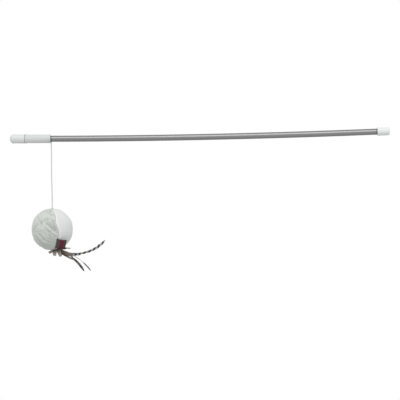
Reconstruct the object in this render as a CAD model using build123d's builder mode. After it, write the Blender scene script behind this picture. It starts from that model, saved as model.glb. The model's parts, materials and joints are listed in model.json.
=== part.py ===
from build123d import *
import math
import os

os.makedirs("parts", exist_ok=True)

# Cat teaser wand, held level as in use: a slim tube with end fittings, and a fabric ball with a
# feather tail that hangs from a cord at the tip. X runs from tip to butt, Z is up, and the viewer
# stands on the -Y side. The origin is on the butt cap's axis, halfway along its plain wall.
# Lengths are in millimetres and angles in degrees.

# Rod: one plastic tube, bowed a little over its bare length
overall_length = 500.0
rod_diameter = 8.0
rod_wall = 1.0
rod_turn = 2.1
bow_setback = 6.0
push_fit_gap = 0.05

# Tip cap: domed cap pushed over the rod's end
tip_cap_diameter = 12.1
tip_cap_length = 19.7
tip_cap_dome_height = 3.6
tip_cap_nose_wall = 4.0
tip_cap_shoulder_round = 0.9
tip_cap_mouth_round = 0.6
parting_gap = 0.3

# Tip sleeve: collar on the rod behind the cap
sleeve_diameter = 11.4
sleeve_length = 33.7
sleeve_rim_diameter = 11.9
sleeve_rim_width = 2.6
sleeve_rim_round = 0.2
sleeve_groove_diameter = 10.9
sleeve_groove_width = 0.6
sleeve_bead_diameter = 12.4
sleeve_bead_width = 2.8
sleeve_bead_round = 0.45
sleeve_relief_diameter = 9.6
sleeve_relief_depth = 1.5

# Butt cap: cap pushed over the other end
butt_cap_diameter = 10.8
butt_cap_length = 16.4
butt_cap_end_wall = 2.2
butt_cap_end_round = 2.4
butt_rim_diameter = 11.2
butt_rim_width = 2.6
butt_rim_round = 0.15

# Cord: hangs from a hole in the rod, right at the sleeve's mouth
cord_diameter = 1.5
cord_setback = 1.0
cord_hole_clearance = 0.2
cord_stub_proud = 0.3
cord_bend_gap = 0.3
cord_neck_length = 3.0
stop_knot_diameter = 3.6
knot_seat_gap = 0.1
# Route of the free stretch, from the bend below the rod to the ball's knot
cord_route = [
    (0.0, 0.0, 0.0),
    (0.3, 0.0, -20.0),
    (0.05, 0.0, -41.0),
    (0.95, 0.0, -62.0),
    (0.95, 0.0, -82.3),
]
arc_run_share = 0.45

# Ball: four sewn gores round a soft filling
ball_diameter = 54.0
cover_thickness = 1.2
gore_count = 4
first_seam_longitude = -73.0
seam_round = 0.5
top_opening_diameter = 3.2
closing_diameter = 2.4
stuffing_gap = 0.2
ball_knot_diameter = 5.0
ball_knot_depth = 1.0
ball_stub_proud = 1.5
pocket_gap = 0.3
gather_ring_diameter = 5.4
gather_ring_height = 1.2
gather_ring_clearance = 0.15
gather_ring_round = 0.4

# Label: woven tab that lies over the ball's lower front
label_width = 13.0
label_length = 17.0
label_thickness = 0.8
label_gap = 0.3
label_longitude = -55.0
label_latitude = -41.5
label_heading = 13.0
label_roll = 25.0

# Tail: strips and feathers bound at one root, low on the ball
tail_longitude = -30.0
tail_latitude = -72.0
tie_diameter = 6.0
tie_root_depth = 5.0
tie_seat = 0.5
tail_bend_gap = 0.4
strip_thickness = 0.5
strip_gap = 0.1
strip_lift = 0.6
tuft_reach = 16.5
tuft_droop = 10.5
tuft_strip_width = 2.2
tuft_spike_width = 1.0

# Feathers: a round quill with a flat vane each
quill_diameter = 0.9
quill_spacing = 1.2
quill_start_angle = -27.0
vane_thickness = 0.5
quill_reach_share = 0.8
vane_start_share = 0.33
long_feather_reach = 62.5
long_feather_width = 2.6
short_feather_reach = 30.5
short_feather_width = 2.0
dark_feather_reach = 34.6
dark_feather_width = 3.4
slender_feather_reach = 43.3
slender_feather_width = 1.4

# Strips that run along the quills
bundle_reach = 20.0
bundle_strip_width = 2.4
bundle_side_width = 2.2
bundle_side_gap = 0.5

# Overrun of cuts
overrun = 1.0


def save(piece, name):
    """Label one finished piece and write it as a node of its own."""
    piece.part.label = name
    export_step(piece.part, f"parts/{name}.step")


def direction(longitude, latitude):
    """Unit vector from the ball's centre, with longitude 0 on +X and latitude 90 on +Z."""
    level = math.cos(math.radians(latitude))
    return Vector(
        level * math.cos(math.radians(longitude)),
        level * math.sin(math.radians(longitude)),
        math.sin(math.radians(latitude)),
    )


# Places along the wand
rod_radius = rod_diameter / 2
bore_radius = rod_radius + push_fit_gap
tip_length = sleeve_length + parting_gap + tip_cap_length
bare_length = overall_length - tip_length - butt_cap_length
turn = math.radians(rod_turn)
bow_radius = (bare_length - 2 * bow_setback) / turn
butt_way = Vector(math.cos(turn), 0, math.sin(turn))
butt_wall_length = butt_cap_length - butt_rim_width - butt_cap_end_round
butt_mouth = butt_way * -(butt_rim_width + butt_wall_length / 2)
tip_way = Vector(-1, 0, 0)
bow_end = butt_mouth - butt_way * bow_setback
bow_centre = bow_end + Vector(-math.sin(turn), 0, math.cos(turn)) * bow_radius
bow_start = bow_centre - Vector(0, 0, bow_radius)
tip_mouth = bow_start + tip_way * bow_setback
tip_profile = Plane(origin=tip_mouth, x_dir=tip_way, z_dir=(0, 1, 0))
tip_axis = Axis(tip_mouth, tip_way)
butt_profile = Plane(origin=butt_mouth, x_dir=butt_way, z_dir=(0, -1, 0))
butt_axis = Axis(butt_mouth, butt_way)
cap_mouth = sleeve_length + parting_gap
rod_tip_end = tip_length - tip_cap_nose_wall
rod_butt_end = butt_cap_length - butt_cap_end_wall

# Places along the cord, from the rod's axis down to the ball
cord_radius = cord_diameter / 2
cord_top = tip_mouth + Vector(cord_setback, 0, 0)
stub_end = cord_top - Vector(0, 0, rod_radius + cord_stub_proud)
front_pivot = stub_end - Vector(0, 0, cord_bend_gap + cord_radius)
side_pivot = front_pivot - Vector(0, 0, cord_neck_length)
cord_points = [side_pivot + Vector(point) for point in cord_route]
cord_end = cord_points[-1]

# Places on the ball
ball_radius = ball_diameter / 2
ball_top = cord_end - Vector(0, 0, ball_stub_proud)
ball_centre = ball_top - Vector(0, 0, ball_radius)
ball_axis = Axis(ball_centre, (0, 0, 1))
stuffing_radius = ball_radius - cover_thickness - stuffing_gap
tail_way = direction(tail_longitude, tail_latitude)
tail_seat = ball_centre + tail_way * ball_radius
tail_pivot = tail_seat + tail_way * tie_seat
tie_radius = tie_diameter / 2
tail_right = (Vector(1, 0, 0) - tail_way * tail_way.X).normalized()
tail_plane = Plane(origin=tail_seat, x_dir=tail_right, z_dir=tail_way)

# Rod tube: straight in its fittings, one long arc between, with the cord's hole below
with BuildPart() as rod_tube:
    with BuildLine():
        tip_run = Line(tip_mouth + tip_way * rod_tip_end, bow_start)
        TangentArc(bow_start, bow_end, tangent=tip_way * -1)
        Line(bow_end, butt_mouth + butt_way * rod_butt_end)
    with BuildSketch(Plane(origin=tip_run @ 0, z_dir=tip_run % 0)):
        Circle(rod_radius)
        Circle(rod_radius - rod_wall, mode=Mode.SUBTRACT)
    sweep()
    with BuildSketch(Plane(origin=cord_top, z_dir=(0, 0, -1))):
        Circle(cord_radius + cord_hole_clearance)
    extrude(amount=rod_diameter, mode=Mode.SUBTRACT)
save(rod_tube, "rod_tube")

# Tip cap: turned profile with a shallow dome and a blind bore for the rod
with BuildPart() as tip_cap:
    cap_radius = tip_cap_diameter / 2
    dome_radius = (cap_radius**2 + tip_cap_dome_height**2) / (2 * tip_cap_dome_height)
    dome_lean = math.asin(cap_radius / dome_radius) / 2
    dome_middle = (
        tip_length - dome_radius * (1 - math.cos(dome_lean)),
        dome_radius * math.sin(dome_lean),
    )
    shoulder = (tip_length - tip_cap_dome_height, cap_radius)
    with BuildSketch(tip_profile) as cap_sketch:
        with BuildLine():
            Polyline(
                (rod_tip_end, 0),
                (rod_tip_end, bore_radius),
                (cap_mouth, bore_radius),
                (cap_mouth, cap_radius),
                shoulder,
            )
            ThreePointArc(shoulder, dome_middle, (tip_length, 0))
            Line((tip_length, 0), (rod_tip_end, 0))
        make_face()
        mouth_corner = cap_sketch.vertices().group_by(Axis.Y)[-1].sort_by(Axis.X)[0]
        fillet(mouth_corner, radius=tip_cap_mouth_round)
        shoulder_corner = cap_sketch.vertices().group_by(Axis.Y)[-1].sort_by(Axis.X)[-1]
        fillet(shoulder_corner, radius=tip_cap_shoulder_round)
    revolve(axis=tip_axis)
save(tip_cap, "tip_cap")

# Tip sleeve: turned collar with a grooved rim at its mouth, a bead at its far end and a relief
# round the rod
with BuildPart() as tip_sleeve:
    bead_start = sleeve_length - sleeve_bead_width
    with BuildSketch(tip_profile) as sleeve_sketch:
        with BuildLine():
            Polyline(
                (0, sleeve_relief_diameter / 2),
                (0, sleeve_rim_diameter / 2),
                (sleeve_rim_width, sleeve_rim_diameter / 2),
                (sleeve_rim_width, sleeve_groove_diameter / 2),
                (sleeve_rim_width + sleeve_groove_width, sleeve_groove_diameter / 2),
                (sleeve_rim_width + sleeve_groove_width, sleeve_diameter / 2),
                (bead_start, sleeve_diameter / 2),
                (bead_start, sleeve_bead_diameter / 2),
                (sleeve_length, sleeve_bead_diameter / 2),
                (sleeve_length, bore_radius),
                (sleeve_relief_depth, bore_radius),
                (sleeve_relief_depth, sleeve_relief_diameter / 2),
                close=True,
            )
        make_face()
        fillet(sleeve_sketch.vertices().group_by(Axis.Y)[-1], radius=sleeve_bead_round)
        fillet(sleeve_sketch.vertices().group_by(Axis.Y)[-2], radius=sleeve_rim_round)
    revolve(axis=tip_axis)
save(tip_sleeve, "tip_sleeve")

# Butt cap: turned profile with a low rim at the mouth and a rounded end
with BuildPart() as butt_cap:
    with BuildSketch(butt_profile) as butt_sketch:
        with BuildLine():
            Polyline(
                (rod_butt_end, 0),
                (rod_butt_end, bore_radius),
                (0, bore_radius),
                (0, butt_rim_diameter / 2),
                (butt_rim_width, butt_rim_diameter / 2),
                (butt_rim_width, butt_cap_diameter / 2),
                (butt_cap_length, butt_cap_diameter / 2),
                (butt_cap_length, 0),
                close=True,
            )
        make_face()
        fillet(butt_sketch.vertices().group_by(Axis.Y)[-1], radius=butt_rim_round)
        end_corner = butt_sketch.vertices().group_by(Axis.X)[-1].sort_by(Axis.Y)[-1]
        fillet(end_corner, radius=butt_cap_end_round)
    revolve(axis=butt_axis)
save(butt_cap, "butt_cap")

# Stop knot: the cord's end, knotted inside the rod and led out through its hole
with BuildPart() as cord_stop_knot:
    knot_radius = stop_knot_diameter / 2
    knot_place = cord_top - Vector(0, 0, rod_radius - rod_wall - knot_radius - knot_seat_gap)
    with Locations(knot_place):
        Sphere(knot_radius)
    with BuildSketch(Plane(origin=knot_place, z_dir=(0, 0, -1))):
        Circle(cord_radius)
    extrude(amount=(knot_place - stub_end).Z)
save(cord_stop_knot, "cord_stop_knot")

# Cord neck: the first bend of the cord below the rod, with a round top
with BuildPart() as cord_neck:
    with Locations(front_pivot):
        Sphere(cord_radius)
    with BuildSketch(Plane(origin=front_pivot, z_dir=(0, 0, -1))):
        Circle(cord_radius)
    extrude(amount=cord_neck_length - cord_radius - cord_bend_gap)
save(cord_neck, "cord_neck")

# Free cord: straight runs joined by the largest tangent arcs, with a round top
corner_radii = []
for before, corner, after in zip(cord_points, cord_points[1:], cord_points[2:]):
    shorter_run = min((corner - before).length, (after - corner).length)
    half_turn = math.radians((corner - before).get_angle(after - corner)) / 2
    corner_radii.append(arc_run_share * shorter_run / math.tan(half_turn))
with BuildPart() as cord_free:
    with BuildLine() as cord_path:
        FilletPolyline(*cord_points, radius=corner_radii)
    path_length = cord_path.wires()[0].length
    with BuildSketch(Plane(origin=cord_path.wires()[0] @ 0, z_dir=cord_path.wires()[0] % 0)):
        Circle(cord_radius)
    sweep()
    swept_volume = cord_free.part.volume
    with Locations(side_pivot):
        Sphere(cord_radius)
save(cord_free, "cord_free")
print("cord corner radii", [round(radius, 1) for radius in corner_radii])
print("cord length", round(path_length, 2))
print("cord volume share", round(swept_volume / (math.pi * cord_radius**2 * path_length), 4))

# Ball knot: the cord's lower end, knotted under the cover
with BuildPart() as ball_knot:
    ball_knot_radius = ball_knot_diameter / 2
    ball_knot_place = ball_top - Vector(0, 0, cover_thickness + ball_knot_depth + ball_knot_radius)
    with Locations(ball_knot_place):
        Sphere(ball_knot_radius)
    with BuildSketch(Plane(origin=ball_knot_place, z_dir=(0, 0, 1))):
        Circle(cord_radius)
    extrude(amount=(cord_end - ball_knot_place).Z)
save(ball_knot, "ball_knot")


def gore(name, longitude):
    """One sewn panel of the cover: a lune of shell between two seams, open at both poles."""
    inner_radius = ball_radius - cover_thickness
    top_radius = top_opening_diameter / 2
    closing_radius = closing_diameter / 2
    seam_way = direction(longitude, 0)
    seam_plane = Plane(origin=ball_centre, x_dir=seam_way, z_dir=seam_way.cross(Vector(0, 0, 1)))
    outer_top = (top_radius, math.sqrt(ball_radius**2 - top_radius**2))
    outer_bottom = (closing_radius, -math.sqrt(ball_radius**2 - closing_radius**2))
    inner_top = (top_radius, math.sqrt(inner_radius**2 - top_radius**2))
    inner_bottom = (closing_radius, -math.sqrt(inner_radius**2 - closing_radius**2))
    with BuildPart() as piece:
        with BuildSketch(seam_plane):
            with BuildLine():
                ThreePointArc(outer_top, (ball_radius, 0), outer_bottom)
                Line(outer_bottom, inner_bottom)
                ThreePointArc(inner_bottom, (inner_radius, 0), inner_top)
                Line(inner_top, outer_top)
            make_face()
        revolve(axis=ball_axis, revolution_arc=360 / gore_count)
        seam_edges = piece.edges().filter_by(GeomType.CIRCLE).sort_by(Edge.length)[-2:]
        fillet(seam_edges, radius=seam_round)
        with BuildSketch(tail_plane.offset(-tie_root_depth)):
            Circle(tie_radius + pocket_gap)
        extrude(amount=tie_root_depth + overrun, mode=Mode.SUBTRACT)
    save(piece, name)


gore_names = ["crinkle_gore_front", "plain_gore_right", "crinkle_gore_back", "plain_gore_left"]
first_gore_longitude = first_seam_longitude - 360 / gore_count
for turn_number, gore_name in enumerate(gore_names):
    gore(gore_name, first_gore_longitude + turn_number * 360 / gore_count)

# Stuffing: soft filling with pockets for the knot and the tail's bound root
with BuildPart() as stuffing:
    with Locations(ball_centre):
        Sphere(stuffing_radius)
    with Locations(ball_knot_place):
        Sphere(ball_knot_radius + pocket_gap, mode=Mode.SUBTRACT)
    with BuildSketch(Plane(origin=ball_knot_place, z_dir=(0, 0, 1))):
        Circle(ball_knot_radius + pocket_gap)
    extrude(amount=ball_radius, mode=Mode.SUBTRACT)
    with BuildSketch(tail_plane.offset(-tie_root_depth - pocket_gap)):
        Circle(tie_radius + pocket_gap)
    extrude(amount=ball_radius, mode=Mode.SUBTRACT)
save(stuffing, "stuffing")

# Gather ring: the cover's edge drawn together round the cord
with BuildPart() as gather_ring:
    with BuildSketch(Plane(origin=ball_top)):
        Circle(gather_ring_diameter / 2)
        Circle(cord_radius + gather_ring_clearance, mode=Mode.SUBTRACT)
    extrude(amount=gather_ring_height)
    fillet(gather_ring.faces().sort_by(Axis.Z)[-1].edges(), radius=gather_ring_round)
save(gather_ring, "gather_ring")

# Label: a tab that follows the ball's curve along its length, rolled up off one long edge
with BuildPart() as label_tab:
    label_way = direction(label_longitude, label_latitude)
    label_east = Vector(0, 0, 1).cross(label_way).normalized()
    label_run = label_way.cross(label_east).rotate(Axis((0, 0, 0), label_way), label_heading)
    label_across = label_way.cross(label_run)
    label_radius = ball_radius + label_gap + label_thickness / 2
    edge_turn = math.degrees(label_width / 2 / label_radius)
    edge_way = label_way.rotate(Axis((0, 0, 0), label_run), -edge_turn)
    label_edge = ball_centre + edge_way * label_radius
    label_face = label_way.rotate(Axis((0, 0, 0), label_run), -label_roll)
    label_side = label_across.rotate(Axis((0, 0, 0), label_run), -label_roll)
    label_centre = label_edge - label_side * (label_width / 2) - label_face * label_radius
    label_plane = Plane(origin=label_centre, x_dir=label_face, z_dir=label_side)
    half_span = math.degrees(label_length / label_radius) / 2
    with BuildSketch(label_plane):
        with BuildLine():
            CenterArc((0, 0), label_radius, -half_span, 2 * half_span)
        trace(line_width=label_thickness)
    extrude(amount=label_width / 2, both=True)
save(label_tab, "label_tab")

# Tail tie: the bound root, sunk in the ball, with a round end that the tail bends about
with BuildPart() as tail_tie:
    with BuildSketch(tail_plane.offset(-tie_root_depth)):
        Circle(tie_radius)
    extrude(amount=tie_root_depth + tie_seat)
    with Locations(tail_pivot):
        Sphere(tie_radius)
save(tail_tie, "tail_tie")


def strip(name, plane, start, middle, end, thickness, width):
    """A flat strip that bends along one arc in the given plane, with its width across it."""
    with BuildPart() as piece:
        with BuildSketch(plane):
            with BuildLine():
                ThreePointArc(start, middle, end)
            trace(line_width=thickness)
        extrude(amount=width / 2, both=True)
    save(piece, name)


# Tuft: short strips round the tie, each with its turn about it, its shares of the tuft's reach
# and droop, and its width
tuft_shares = [
    ("tuft_strip_left", 180.0, 0.76, 0.14, tuft_strip_width),
    ("tuft_strip_front_left", 136.0, 0.52, 0.76, tuft_strip_width),
    ("tuft_strip_front", 82.0, 0.42, 1.0, tuft_strip_width),
    ("tuft_spike_right", -6.0, 1.0, 0.29, tuft_spike_width),
    ("tuft_spike_back_right", -38.0, 0.88, 0.08, tuft_spike_width),
    ("tuft_strip_back", -82.0, 0.48, 0.86, tuft_strip_width),
    ("tuft_strip_back_left", -132.0, 0.61, 0.48, tuft_strip_width),
]
droop_middle_share = 0.3
tuft_root = tie_radius + strip_gap
for strip_name, strip_turn, reach_share, droop_share, width in tuft_shares:
    reach = reach_share * tuft_reach
    droop = droop_share * tuft_droop
    out_way = tail_right.rotate(Axis((0, 0, 0), tail_way), strip_turn)
    out_plane = Plane(origin=tail_seat, x_dir=out_way, z_dir=out_way.cross(tail_way))
    strip(
        strip_name,
        out_plane,
        (tuft_root, strip_lift),
        ((tuft_root + reach) / 2, strip_lift + droop_middle_share * droop),
        (reach, strip_lift + droop),
        strip_thickness,
        width,
    )


def tail_sheet(step):
    """An upright plane through the tail, moved off its middle towards the viewer."""
    return Plane(origin=tail_pivot - Vector(0, step, 0), x_dir=(1, 0, 0), z_dir=(0, -1, 0))


def tail_start(angle):
    """A point just clear of the tie's round end, at an angle from level."""
    start_radius = tie_radius + tail_bend_gap
    return (
        start_radius * math.cos(math.radians(angle)),
        start_radius * math.sin(math.radians(angle)),
    )


def feather(name, step, reach, middle_shares, tip_rise_share, width):
    """A feather on one arc: a round quill for most of its length and a flat vane to its tip."""
    sheet = tail_sheet(step)
    start = tail_start(quill_start_angle)
    middle = (middle_shares[0] * reach, middle_shares[1] * reach)
    tip = (reach, tip_rise_share * reach)
    shaft = ThreePointArc(start, middle, tip)
    quill_middle = tuple(shaft @ (quill_reach_share / 2))
    quill_end = tuple(shaft @ quill_reach_share)
    vane_start = shaft @ vane_start_share
    widest_share = (1 + vane_start_share) / 2
    widest = shaft @ widest_share
    across = (shaft % widest_share).rotate(Axis.Z, 90) * (width / 2)
    with BuildPart() as piece:
        with BuildLine(sheet) as quill_path:
            ThreePointArc(start, quill_middle, quill_end)
        quill = quill_path.wires()[0]
        with BuildSketch(Plane(origin=quill @ 0, z_dir=quill % 0)):
            Circle(quill_diameter / 2)
        sweep()
        with BuildSketch(sheet):
            with BuildLine():
                ThreePointArc(vane_start, widest + across, tip)
                ThreePointArc(tip, widest - across, vane_start)
            make_face()
        extrude(amount=vane_thickness / 2, both=True)
    save(piece, name)


# Feathers side by side at the root: each one's place in quill spacings, its reach, its middle
# and tip as shares of that reach, and its width
feather_shares = [
    ("feather_long_barred", 0.5, long_feather_reach, (0.5, -0.085), 0.194, long_feather_width),
    ("feather_short_barred", 1.5, short_feather_reach, (0.55, -0.22), -0.22, short_feather_width),
    ("feather_dark", -0.5, dark_feather_reach, (0.61, -0.37), -0.84, dark_feather_width),
    ("feather_slender", -1.5, slender_feather_reach, (0.55, -0.24), -0.66, slender_feather_width),
]
for feather_name, step_share, reach, middle_shares, tip_rise_share, width in feather_shares:
    feather(feather_name, step_share * quill_spacing, reach, middle_shares, tip_rise_share, width)

# Bundle strips: flat ones above and below the quills and upright ones beside them, each with its
# start angle at the tie, and its middle and end as shares of the bundle's reach
flat_step = bundle_strip_width / 2 + strip_gap
side_step = 2 * quill_spacing + bundle_side_gap
flat = (strip_thickness, bundle_strip_width)
upright = (bundle_side_width, strip_thickness)
bundle_shares = [
    ("bundle_strip_top_front", flat_step, -8.0, (0.45, -0.11), (0.85, -0.21), flat),
    ("bundle_strip_top_back", -flat_step, -8.0, (0.42, -0.09), (0.75, -0.16), flat),
    ("bundle_strip_low_front", flat_step, -66.0, (0.5, -0.42), (1.0, -0.68), flat),
    ("bundle_strip_low_back", -flat_step, -66.0, (0.45, -0.40), (0.9, -0.66), flat),
    ("bundle_strip_side_front", side_step, quill_start_angle, (0.52, -0.25), (1.0, -0.44), upright),
    ("bundle_strip_side_back", -side_step, quill_start_angle, (0.5, -0.25), (0.92, -0.42), upright),
]
for strip_name, step, angle, middle_shares, end_shares, section in bundle_shares:
    strip(
        strip_name,
        tail_sheet(step),
        tail_start(angle),
        (middle_shares[0] * bundle_reach, middle_shares[1] * bundle_reach),
        (end_shares[0] * bundle_reach, end_shares[1] * bundle_reach),
        section[0],
        section[1],
    )
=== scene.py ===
import bpy
import json
import math
import random
from mathutils import Matrix, Vector, noise


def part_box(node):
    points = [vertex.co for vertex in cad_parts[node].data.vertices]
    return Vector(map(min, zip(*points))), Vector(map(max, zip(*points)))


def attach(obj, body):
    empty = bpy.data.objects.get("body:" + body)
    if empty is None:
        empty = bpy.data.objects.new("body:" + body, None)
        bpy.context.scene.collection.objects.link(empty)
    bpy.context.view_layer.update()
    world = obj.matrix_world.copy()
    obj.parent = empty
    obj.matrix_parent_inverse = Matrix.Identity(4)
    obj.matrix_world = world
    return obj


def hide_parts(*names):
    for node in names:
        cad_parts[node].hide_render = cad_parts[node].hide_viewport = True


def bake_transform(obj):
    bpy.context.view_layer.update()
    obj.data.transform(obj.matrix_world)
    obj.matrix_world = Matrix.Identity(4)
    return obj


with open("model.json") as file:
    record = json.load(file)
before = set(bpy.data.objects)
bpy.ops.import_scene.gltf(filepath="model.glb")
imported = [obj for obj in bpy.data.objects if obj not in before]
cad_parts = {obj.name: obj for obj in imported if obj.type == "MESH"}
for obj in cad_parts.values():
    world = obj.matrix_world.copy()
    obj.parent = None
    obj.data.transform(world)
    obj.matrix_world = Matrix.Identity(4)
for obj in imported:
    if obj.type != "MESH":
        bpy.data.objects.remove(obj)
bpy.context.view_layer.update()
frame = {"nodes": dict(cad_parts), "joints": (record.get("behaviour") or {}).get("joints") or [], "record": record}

# The photograph's view: the wand hangs level before the lens, seen square from its side
# and from well away, with the camera rolled a fraction of a degree.
photo_width = 0.5261
view_centre = Vector((-0.2418, 0.0, -0.0894))
view_distance = 3.0
view_roll = math.radians(0.2)
camera_data = bpy.data.cameras.new("photo_camera")
camera_data.sensor_width = 36.0
camera_data.lens = camera_data.sensor_width * view_distance / photo_width
camera_data.clip_end = 50.0
camera = bpy.data.objects.new("photo_camera", camera_data)
bpy.context.scene.collection.objects.link(camera)
camera.location = view_centre - Vector((0.0, view_distance, 0.0))
camera.rotation_euler = (math.pi / 2, view_roll, 0.0)
bpy.context.scene.camera = camera
bpy.context.scene.view_settings.view_transform = "Standard"

# The studio: a pale round floor well below the wand, white air behind it, and one broad
# soft lamp high in front with even fill from all round.
floor_radius = 1.0
floor_drop = 0.36
floor_fade = (0.3 * floor_radius, 0.9 * floor_radius)
floor_bounce = (0.55, 0.55, 0.55, 1.0)
fill_strength = 0.72
lamp_strength = 0.78
lamp_spread = math.radians(38.0)
lamp_way = Vector((-0.05, 0.8, -0.8))


def clear_bench():
    """Leave nothing selected before a new piece is started."""
    bpy.ops.object.select_all(action="DESELECT")


def above(height):
    """A step straight up."""
    return Vector((0.0, 0.0, height))


def set_sockets(node, **sockets):
    """Set the inputs that are named, with spaces written as underscores."""
    for socket, value in sockets.items():
        node.inputs[socket.replace("_", " ")].default_value = value


def put_node(tree, kind, **sockets):
    """Add one shader node with the named inputs set."""
    made = tree.nodes.new(f"ShaderNode{kind}")
    set_sockets(made, **sockets)
    return made


def put_sum(tree, operation, value=None):
    """Add one sum, with its second term where that is fixed."""
    made = put_node(tree, "Math")
    made.operation = operation
    if value is not None:
        made.inputs[1].default_value = value
    return made


def put_blend(tree, kind="MIX", share=None):
    """Add a blend of two colours, with its share where that is fixed."""
    made = put_node(tree, "Mix")
    made.data_type = "RGBA"
    made.blend_type = kind
    if share is not None:
        made.inputs[0].default_value = share
    return made


def put_ramp(tree, *stops):
    """Add a colour ramp with the given (place, colour) stops."""
    ramp = put_node(tree, "ValToRGB")
    elements = ramp.color_ramp.elements
    while len(elements) < len(stops):
        elements.new(1.0)
    for element, (place, colour) in zip(elements, stops):
        element.position = place
        element.color = (*colour, 1.0)
    return ramp


def wire(tree, *links):
    """Join nodes: each link names a node, its output, the next node and its input."""
    for start, output, end, socket in links:
        tree.links.new(start.outputs[output], end.inputs[socket])


clear_bench()
bpy.ops.mesh.primitive_circle_add(
    vertices=96,
    radius=floor_radius,
    fill_type="NGON",
    location=view_centre - above(floor_drop),
)
floor = bpy.context.object
floor.name = "studio_floor"
bpy.ops.object.transform_apply(location=True)
floor_paint = bpy.data.materials.new("pale_floor")
floor_paint.use_nodes = True
tree = floor_paint.node_tree
tree.nodes.clear()
place = put_node(tree, "TexCoord")
centred = put_node(tree, "Mapping", Location=above(floor_drop) - view_centre)
reach = put_node(tree, "VectorMath")
reach.operation = "LENGTH"
fade = put_node(tree, "MapRange", From_Min=floor_fade[0], From_Max=floor_fade[1])
grain = put_node(tree, "TexNoise", Scale=6.0)
tone = put_ramp(tree, (0.0, (0.86, 0.86, 0.86)), (1.0, (0.9, 0.9, 0.9)))
bounce = put_blend(tree)
bounce.inputs[7].default_value = floor_bounce
matte = put_node(tree, "BsdfDiffuse")
white = put_node(tree, "Emission")
ray = put_node(tree, "LightPath")
shown = put_sum(tree, "MAXIMUM")
glow = put_sum(tree, "MULTIPLY")
mix = put_node(tree, "MixShader")
finished = put_node(tree, "OutputMaterial")
wire(
    tree,
    (place, "Object", centred, "Vector"),
    (centred, "Vector", reach, 0),
    (reach, "Value", fade, "Value"),
    (place, "Object", grain, "Vector"),
    (grain, "Fac", tone, "Fac"),
    (tone, "Color", bounce, 6),
    (ray, "Is Diffuse Ray", bounce, 0),
    (bounce, 2, matte, "Color"),
    (ray, "Is Camera Ray", shown, 0),
    (ray, "Is Glossy Ray", shown, 1),
    (shown, "Value", glow, 0),
    (fade, "Result", glow, 1),
    (glow, "Value", mix, "Fac"),
    (matte, "BSDF", mix, 1),
    (white, "Emission", mix, 2),
    (mix, "Shader", finished, "Surface"),
)
floor.data.materials.append(floor_paint)

air = bpy.data.worlds.new("studio_air")
bpy.context.scene.world = air
air.use_nodes = True
tree = air.node_tree
tree.nodes.clear()
ray = put_node(tree, "LightPath")
seen = put_sum(tree, "MAXIMUM")
shown = put_sum(tree, "MAXIMUM")
fill = put_node(tree, "Background", Color=(0.985, 1.0, 0.99, 1.0), Strength=fill_strength)
white = put_node(tree, "Background", Color=(1.0, 1.0, 1.0, 1.0), Strength=1.0)
mix = put_node(tree, "MixShader")
finished = put_node(tree, "OutputWorld")
wire(
    tree,
    (ray, "Is Camera Ray", seen, 0),
    (ray, "Is Glossy Ray", seen, 1),
    (seen, "Value", shown, 0),
    (ray, "Is Transmission Ray", shown, 1),
    (shown, "Value", mix, "Fac"),
    (fill, "Background", mix, 1),
    (white, "Background", mix, 2),
    (mix, "Shader", finished, "Surface"),
)

lamp_data = bpy.data.lights.new("soft_lamp", "SUN")
lamp_data.energy = lamp_strength
lamp_data.angle = lamp_spread
lamp = bpy.data.objects.new("soft_lamp", lamp_data)
bpy.context.scene.collection.objects.link(lamp)
lamp.rotation_euler = lamp_way.to_track_quat("-Z", "Y").to_euler()

# Rod: one slim plastic tube, silver-grey in the mass with a satin skin, drawn through a die
# and bowed a little over its bare length. The cord leaves through a drilled hole below.
rod_radius = 0.004
rod_wall = 0.001
bow_setback = 0.006
joints = {joint["name"]: joint for joint in frame["joints"]}
mounts = {mount["name"]: mount for mount in frame["record"]["mounts"]}
butt_way = Vector(mounts["butt_end"]["axis"])
rod_turn = math.atan2(butt_way.z, butt_way.x)
tip_axis_height = mounts["tip_end"]["pos_m"][2]
tip_mouth = Vector((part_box("tip_sleeve")[1].x, 0.0, tip_axis_height))
tube_start = Vector((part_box("rod_tube")[0].x, 0.0, tip_axis_height))
bow_start = tip_mouth + Vector((bow_setback, 0.0, 0.0))
butt_mouth_reach = -0.0083
bow_end = butt_way * (butt_mouth_reach - bow_setback)
bow_radius = (bow_end.x - bow_start.x) / math.sin(rod_turn)
tube_end_reach = 0.0059
cord_top = Vector((joints["cord_swing_front"]["pos_m"][0], 0.0, tip_axis_height))
cord_hole_radius = 0.00095


def take_up(piece):
    """Make one piece the only selected and active one."""
    clear_bench()
    piece.select_set(True)
    bpy.context.view_layer.objects.active = piece


def open_mesh(piece):
    """Open one piece's mesh for editing, with all of it selected."""
    take_up(piece)
    bpy.ops.object.mode_set(mode="EDIT")
    bpy.ops.mesh.select_all(action="SELECT")


def apply_modifiers(piece):
    """Turn a piece's modifiers into its mesh, in their order."""
    take_up(piece)
    for name in [modifier.name for modifier in piece.modifiers]:
        bpy.ops.object.modifier_apply(modifier=name)


def give_wall(piece, thickness, offset):
    """Thicken a skin into a wall: inwards with the offset at -1, to both sides at 0."""
    wall = piece.modifiers.new("wall", "SOLIDIFY")
    wall.thickness = thickness
    wall.offset = offset


def smooth(piece, crease=None):
    """Shade a piece smooth, but for edges sharper than a crease angle where one is given."""
    take_up(piece)
    if crease is None:
        bpy.ops.object.shade_smooth()
    else:
        bpy.ops.object.shade_smooth_by_angle(angle=math.radians(crease))


def set_down(piece, name, finish):
    """Name a finished piece, put its place into its mesh and give it its finish."""
    take_up(piece)
    bpy.ops.object.transform_apply(location=True, rotation=True, scale=True)
    piece.name = name
    piece.data.name = name
    piece.data.materials.clear()
    piece.data.materials.append(finish)


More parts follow.
